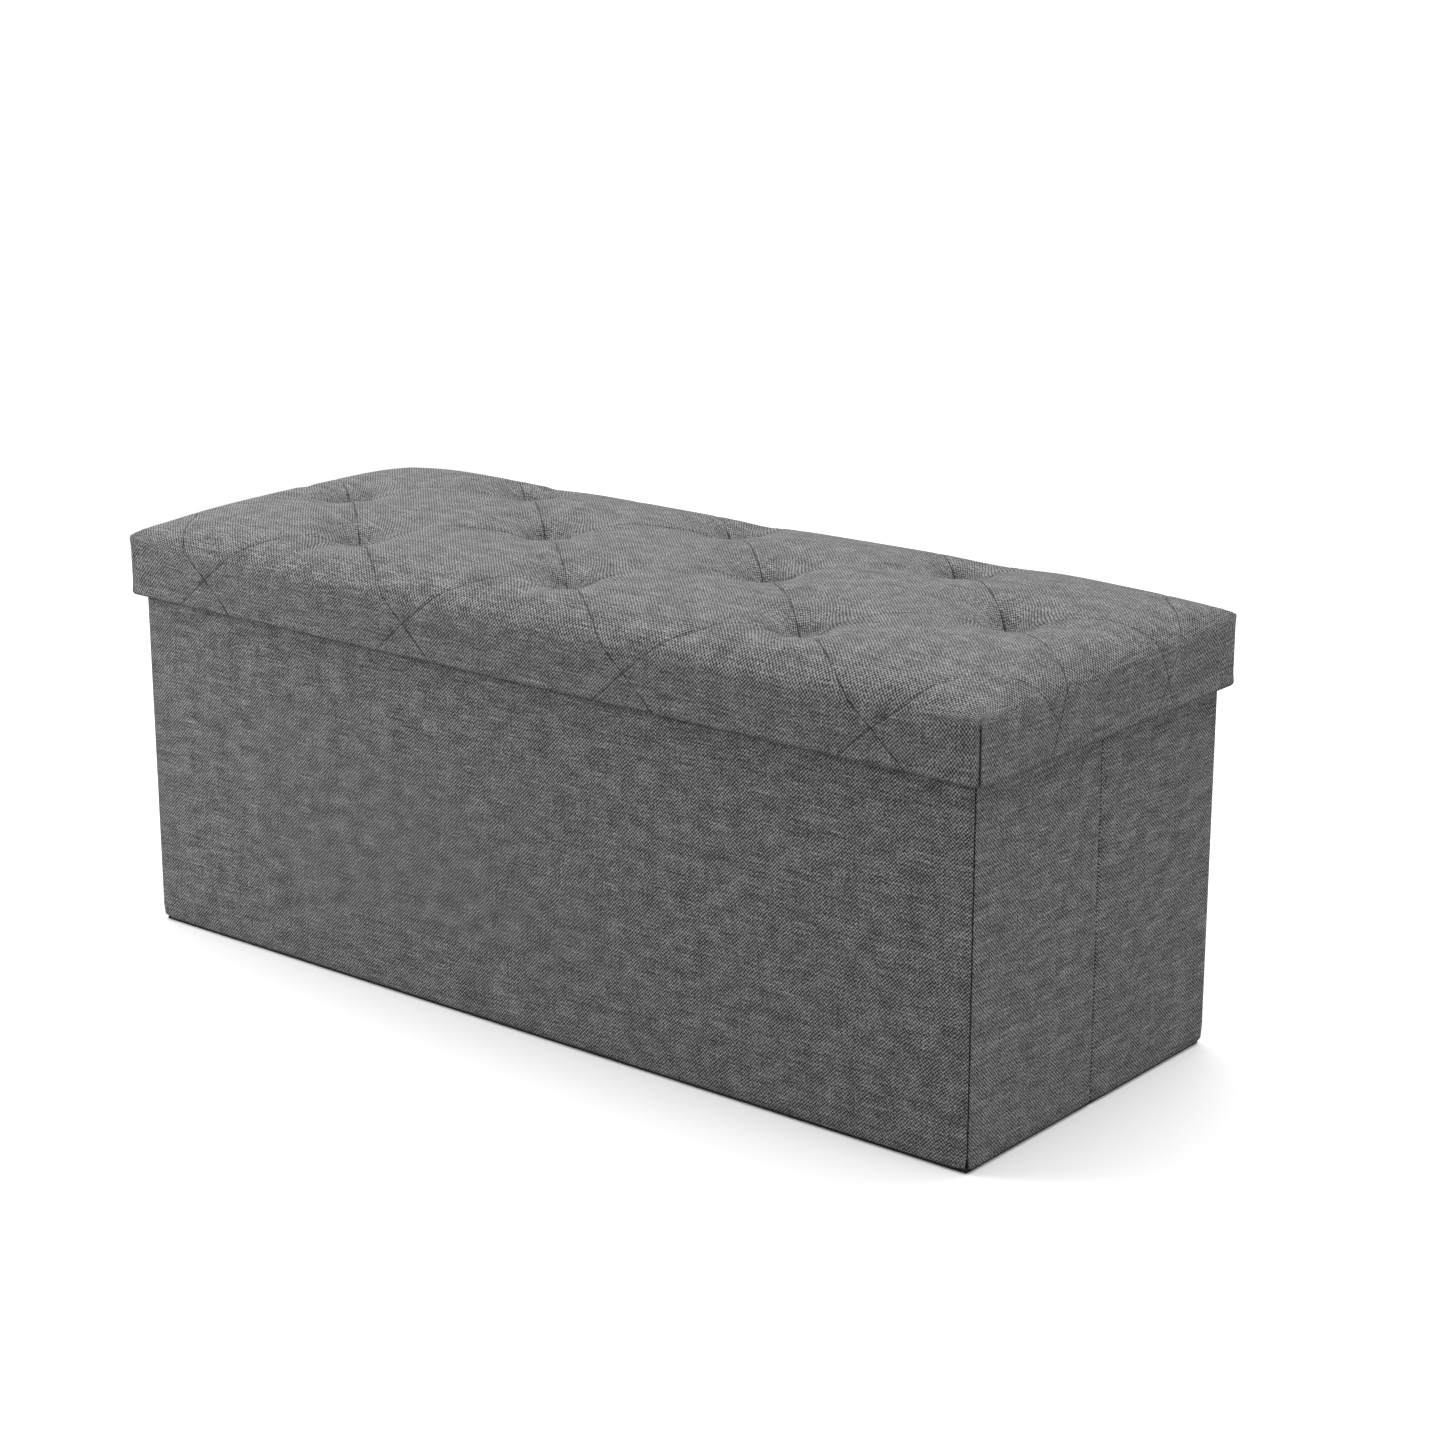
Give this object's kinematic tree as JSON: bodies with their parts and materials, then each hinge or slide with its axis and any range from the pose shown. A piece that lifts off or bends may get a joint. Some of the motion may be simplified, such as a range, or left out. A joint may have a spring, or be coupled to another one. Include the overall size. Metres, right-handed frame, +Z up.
{
  "type": "folding storage bench",
  "caption": "Fabric-covered box bench that folds flat along creased ends, with a lift-off padded, tufted lid.",
  "frame": {"origin": "middle of the foot, on the surface that the bench stands on", "axes": "+X along the bench to its right end, -Y towards the front, +Z up"},
  "size_m": [1, 0.392, 0.4219],
  "materials": {
    "woven_cover": "mid-grey linen-look weave with slubs",
    "lining": "dark grey non-woven cloth",
    "base_cloth": "black non-woven cloth",
    "fibreboard": "raw fibreboard",
    "foam": "open-cell foam",
    "thread": "waxed grey thread",
    "washer": "matte black plastic"
  },
  "bodies": {
    "rear_wall": {"base_cloth": "base_cloth", "base_board": "fibreboard", "base_lining": "base_cloth", "rear_cover": "woven_cover", "rear_board": "fibreboard", "rear_lining": "lining"},
    "right_rear_end": {"right_rear_cover": "woven_cover", "right_rear_board": "fibreboard", "right_rear_lining": "lining"},
    "right_front_end": {"right_front_cover": "woven_cover", "right_front_board": "fibreboard", "right_front_lining": "lining"},
    "front_wall": {"front_cover": "woven_cover", "front_board": "fibreboard", "front_lining": "lining"},
    "left_rear_end": {"left_rear_cover": "woven_cover", "left_rear_board": "fibreboard", "left_rear_lining": "lining"},
    "left_front_end": {"left_front_cover": "woven_cover", "left_front_board": "fibreboard", "left_front_lining": "lining"},
    "lid": {"lid_cover": "woven_cover", "lid_foam": "foam", "lid_board": "fibreboard", "lid_lining": "lining", "lid_skirt_front": "fibreboard", "lid_skirt_rear": "fibreboard", "lid_skirt_left": "fibreboard", "lid_skirt_right": "fibreboard", "tuft_tie_1": "thread", "tuft_tie_2": "thread", "tuft_tie_3": "thread", "tuft_tie_4": "thread", "tuft_tie_5": "thread", "tuft_tie_6": "thread", "tuft_tie_7": "thread", "tuft_tie_8": "thread", "tuft_tie_9": "thread", "tuft_tie_10": "thread", "tuft_washer_1": "washer", "tuft_washer_2": "washer", "tuft_washer_3": "washer", "tuft_washer_4": "washer", "tuft_washer_5": "washer", "tuft_washer_6": "washer", "tuft_washer_7": "washer", "tuft_washer_8": "washer", "tuft_washer_9": "washer", "tuft_washer_10": "washer"}
  },
  "joints": [
    {"name": "lid_lift", "type": "slide", "parent": "rear_wall", "child": "lid", "axis": [0, 0, 1], "range_m": [0, 0.4]},
    {"name": "fold", "type": "hinge", "parent": "rear_wall", "child": "right_rear_end", "pos_m": [0.4811, 0.1771, 0.18], "axis": [0, 0, 1], "range_deg": [-89, 0]},
    {"name": "right_crease", "type": "hinge", "parent": "right_rear_end", "child": "right_front_end", "pos_m": [0.4903, 0, 0.18], "axis": [0, 0, 1], "range_deg": [0, 178]},
    {"name": "right_front_corner", "type": "hinge", "parent": "right_front_end", "child": "front_wall", "pos_m": [0.4811, -0.1771, 0.18], "axis": [0, 0, 1], "range_deg": [-89, 0]},
    {"name": "left_rear_corner", "type": "hinge", "parent": "rear_wall", "child": "left_rear_end", "pos_m": [-0.4811, 0.1771, 0.18], "axis": [0, 0, 1], "range_deg": [0, 89]},
    {"name": "left_crease", "type": "hinge", "parent": "left_rear_end", "child": "left_front_end", "pos_m": [-0.4903, 0, 0.18], "axis": [0, 0, 1], "range_deg": [-178, 0]}
  ],
  "couplings": [
    {"joint": "right_crease", "follows": "fold", "ratio": -2},
    {"joint": "right_front_corner", "follows": "fold", "ratio": 1},
    {"joint": "left_rear_corner", "follows": "fold", "ratio": -1},
    {"joint": "left_crease", "follows": "fold", "ratio": 2}
  ]
}
